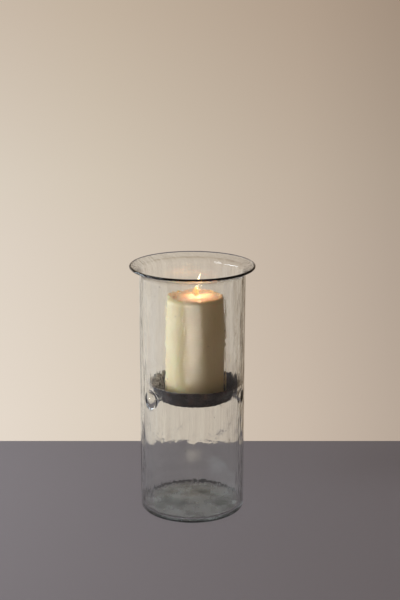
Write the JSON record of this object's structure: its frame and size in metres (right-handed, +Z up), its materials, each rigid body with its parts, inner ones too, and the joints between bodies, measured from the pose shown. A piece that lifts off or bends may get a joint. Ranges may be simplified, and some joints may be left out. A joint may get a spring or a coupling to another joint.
{
  "type": "hurricane candle lantern",
  "caption": "Tall clear blown-glass cylinder with a flared rim and inward dimples that carry a flared iron dish holding a pillar candle.",
  "frame": {"origin": "on the glass's axis, in the plane of the foot ring it stands on", "axes": "+Z up along the glass's axis; -Y is the front, with one dimple 52 degrees left of it and one 68 degrees right of it"},
  "size_m": [0.1504, 0.1504, 0.305],
  "materials": {
    "clear_glass": "clear hand-blown soda-lime glass with a faint grey-green tint, ripples and small seeds",
    "rusted_iron": "dark blackened iron sheet, mottled and slightly rusted, half matte",
    "ivory_wax": "ivory paraffin wax, smooth and slightly translucent",
    "charred_cotton": "braided cotton, burnt black above the wax",
    "tinned_steel": "thin tinned steel"
  },
  "bodies": {
    "glass": {"glass_cylinder": "clear_glass"},
    "dish": {"candle_dish": "rusted_iron"},
    "candle": {"candle_wax": "ivory_wax", "wick": "charred_cotton", "wick_clip": "tinned_steel"}
  },
  "joints": [
    {"name": "insert_lift", "type": "slide", "parent": "glass", "child": "dish", "axis": [0, 0, 1], "range_m": [0, 0.175]},
    {"name": "candle_lift", "type": "slide", "parent": "dish", "child": "candle", "axis": [0, 0, 1], "range_m": [0, 0.17]}
  ]
}
